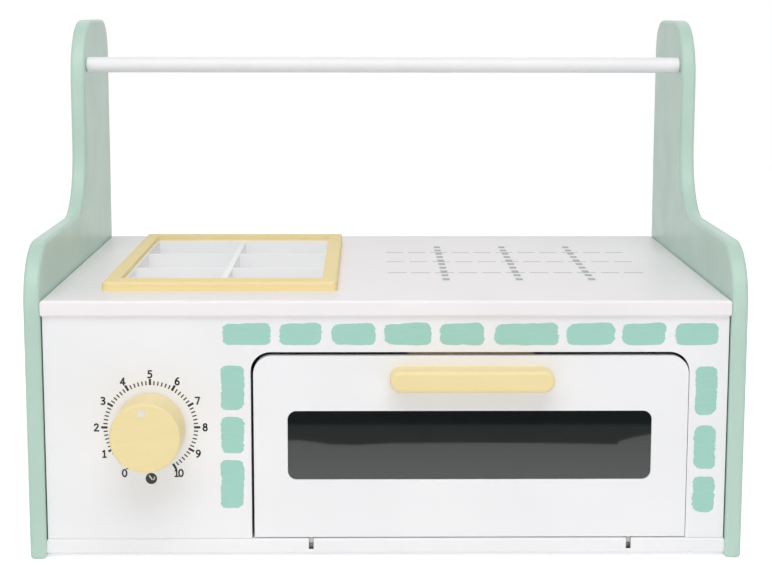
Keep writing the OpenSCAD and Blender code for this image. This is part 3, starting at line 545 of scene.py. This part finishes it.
def makePaperFloor(name):
    # seamless white paper, matt: a glow brings the background to white and keeps the object's shadow;
    # little of it reaches the object, and in a mirror it dims towards the table's front edge, a painted
    # reflection of that edge
    material, tree, output, place = newMaterial(name)
    fibre = addNode(tree, "ShaderNodeTexNoise",
                    inputs={"Scale": patternScale(paper["fibreMm"]), "Detail": 2.0}, links={"Vector": place})
    color = addNode(tree, "ShaderNodeMix", {"data_type": "RGBA"},
                    {colorA: hexToLinear(paper["shade"]), colorB: hexToLinear(paper["color"])},
                    {mixFactor: fibre.outputs["Fac"]})
    diffuse = addNode(tree, "ShaderNodeBsdfDiffuse", links={"Color": color.outputs[mixedColor]})
    parts = addNode(tree, "ShaderNodeSeparateXYZ", links={"Vector": place})
    # the glow that only mirrors see, and its loss along y, are painted reflection
    loss = addNode(tree, "ShaderNodeMapRange",
                   inputs={"From Min": panelFaceY + paper["lossFull"] * mm,
                           "From Max": panelFaceY + paper["lossNone"] * mm,
                           "To Min": paper["mirrorLoss"], "To Max": 0.0},
                   links={"Value": parts.outputs["Y"]})
    path = tree.nodes.new("ShaderNodeLightPath")
    mirrored = addNode(tree, "ShaderNodeMath", {"operation": "SUBTRACT"}, {0: paper["mirrorGlow"]},
                       {1: loss.outputs["Result"]})
    unseen = addNode(tree, "ShaderNodeMix", {"data_type": "FLOAT"}, {floatA: paper["bounce"]},
                     {mixFactor: path.outputs["Is Glossy Ray"], floatB: mirrored.outputs[0]})
    direct = addNode(tree, "ShaderNodeMath", {"operation": "MAXIMUM"},
                     links={0: path.outputs["Is Camera Ray"], 1: path.outputs["Is Transmission Ray"]})
    strength = addNode(tree, "ShaderNodeMix", {"data_type": "FLOAT"}, {floatB: paper["glow"]},
                       {mixFactor: direct.outputs[0], floatA: unseen.outputs[mixedFloat]})
    glow = addNode(tree, "ShaderNodeEmission", links={"Strength": strength.outputs[mixedFloat]})
    both = addNode(tree, "ShaderNodeAddShader", links={0: diffuse.outputs[0], 1: glow.outputs[0]})
    tree.links.new(both.outputs[0], output.inputs["Surface"])
    return material


def makeDimRoom(name):
    # painted reflection: a dim glow that fades with the distance from the table; only mirrors show it
    material, tree, output, place = newMaterial(name)
    parts = addNode(tree, "ShaderNodeSeparateXYZ", links={"Vector": place})
    fade = addNode(tree, "ShaderNodeMapRange",
                   inputs={"From Min": panelFaceY + paintedRoomReflection["far"] * mm,
                           "From Max": panelFaceY + paintedRoomReflection["near"] * mm,
                           "To Min": paintedRoomReflection["farGlow"], "To Max": paintedRoomReflection["nearGlow"]},
                   links={"Value": parts.outputs["Y"]})
    glow = addNode(tree, "ShaderNodeEmission", inputs={"Color": hexToLinear(paintedRoomReflection["color"])},
                   links={"Strength": fade.outputs["Result"]})
    tree.links.new(glow.outputs[0], output.inputs["Surface"])
    return material


def flatSheet(name, corners, material):
    mesh = bpy.data.meshes.new(name)
    mesh.from_pydata(corners, [], [tuple(range(len(corners)))])
    sheet = bpy.data.objects.new(name, mesh)
    scene.collection.objects.link(sheet)
    mesh.materials.append(material)
    return sheet


half = paper["size"] * mm / 2
flatSheet("floor", [(-half, -half, 0), (half, -half, 0), (half, half, 0), (-half, half, 0)],
          makePaperFloor("white paper"))
reflectionCorners = [(x * mm, panelFaceY + y * mm, paintedRoomReflection["lift"] * mm)
               for x, y in paintedRoomReflection["tableEdge"] + paintedRoomReflection["farEdge"]]
room = flatSheet("painted_room_reflection", reflectionCorners, makeDimRoom("painted reflection of an unlit room"))
# the sheet is painted reflection: the camera, bounce light and shadows pass it by
room.visible_camera = False
room.visible_diffuse = False
room.visible_transmission = False
room.visible_shadow = False


def spanOf(name, axis):
    places = [(nodes[name].matrix_world @ Vector(corner))[axis] for corner in nodes[name].bound_box]
    return min(places), max(places)


# Black card of painted shade in the slit at either end of the back panel, this many mm behind the panel's
# front face, so that the white studio doesn't shine through the gap over the door
slitShadeCard = {"depth": 0.3}
backX, backY, backZ = (spanOf("back_panel", axis) for axis in range(3))
cardY = backY[0] + slitShadeCard["depth"] * mm
for name, x0, x1 in (("slit_shade_card_left", spanOf("side_panel_left", 0)[1], backX[0]),
                     ("slit_shade_card_right", backX[1], spanOf("side_panel_right", 0)[0])):
    # these cards wear the charcoal ink as painted shade, not as print
    flatSheet(name, [(x0, cardY, backZ[0]), (x1, cardY, backZ[0]), (x1, cardY, backZ[1]),
                     (x0, cardY, backZ[1])], darkInkAndSlitShade)

# What the world gives as light, and what the camera sees of it, also in a mirror or through glass
sky = {"light": 0.405, "seen": 1.0}
world = bpy.data.worlds.new("studio")
scene.world = world
world.use_nodes = True
tree = world.node_tree
tree.nodes.clear()
softLight = addNode(tree, "ShaderNodeBackground", inputs={"Color": pureWhite, "Strength": sky["light"]})
plain = addNode(tree, "ShaderNodeBackground", inputs={"Color": pureWhite, "Strength": sky["seen"]})
path = tree.nodes.new("ShaderNodeLightPath")
mirroredToo = addNode(tree, "ShaderNodeMath", {"operation": "MAXIMUM"},
                      links={0: path.outputs["Is Camera Ray"], 1: path.outputs["Is Glossy Ray"]})
throughGlassToo = addNode(tree, "ShaderNodeMath", {"operation": "MAXIMUM"},
                          links={0: mirroredToo.outputs[0], 1: path.outputs["Is Transmission Ray"]})
backdrop = addNode(tree, "ShaderNodeMixShader",
                   links={"Fac": throughGlassToo.outputs[0], 1: softLight.outputs[0], 2: plain.outputs[0]})
addNode(tree, "ShaderNodeOutputWorld", links={"Surface": backdrop.outputs[0]})

# name: (place in m, aimed at in m, size in m, watts)
lamps = {
    "key_softbox": ((-1.3, -1.6, 1.3), (0, -0.1, 0.15), (1.2, 1.0), 3.2),
    "fill_softbox": ((1.5, -1.5, 1.0), (0, -0.1, 0.15), (1.2, 1.0), 0.7),
    "low_softbox": ((0.0, -2.0, 0.35), (0, -0.1, 0.15), (1.8, 0.5), 3.4),
    "high_softbox": ((0.0, -1.4, 1.8), (0, -0.1, 0.15), (1.6, 0.9), 14.3),
    "top_softbox": ((0.0, -0.7, 2.1), (0, -0.1, 0.1), (1.6, 0.9), 6.4),
    "back_softbox": ((0.0, 1.5, 1.4), (0, 0, 0.2), (1.8, 0.8), 2.2),
}
for name, (place, aim, size, watts) in lamps.items():
    light = bpy.data.lights.new(name, "AREA")
    light.shape = "RECTANGLE"
    light.size, light.size_y = size
    light.energy = watts
    lamp = bpy.data.objects.new(name, light)
    scene.collection.objects.link(lamp)
    lamp.location = place
    lamp.rotation_euler = (Vector(aim) - Vector(place)).to_track_quat("-Z", "Y").to_euler()

# Place in mm, with y from the front panel; turns in radians; the photo's frame in pixels
view = {"place": (-14.5, -1272.6, 402.0), "yaw": 0.0130, "pitch": 0.1543, "roll": 0.0016, "focalPx": 1784.0,
        "centerPx": (389.5, 284.9), "framePx": (772, 579), "sensorMm": 36.0}
frameWide, frameHigh = view["framePx"]
cameraData = bpy.data.cameras.new("photo_view")
camera = bpy.data.objects.new("photo_view", cameraData)
scene.collection.objects.link(camera)
cameraData.sensor_width = view["sensorMm"]
cameraData.lens = view["sensorMm"] * view["focalPx"] / frameWide
cameraData.shift_x = (frameWide / 2 - view["centerPx"][0]) / frameWide
cameraData.shift_y = (view["centerPx"][1] - frameHigh / 2) / frameWide
cameraPlace = Vector((view["place"][0] * mm, panelFaceY + view["place"][1] * mm, view["place"][2] * mm))
camera.matrix_world = (Matrix.Translation(cameraPlace) @ Matrix.Rotation(-view["yaw"], 4, "Z")
                       @ Matrix.Rotation(math.pi / 2 - view["pitch"], 4, "X")
                       @ Matrix.Rotation(view["roll"], 4, "Z"))
scene.camera = camera
scene.view_settings.view_transform = "Standard"
print("studio set")
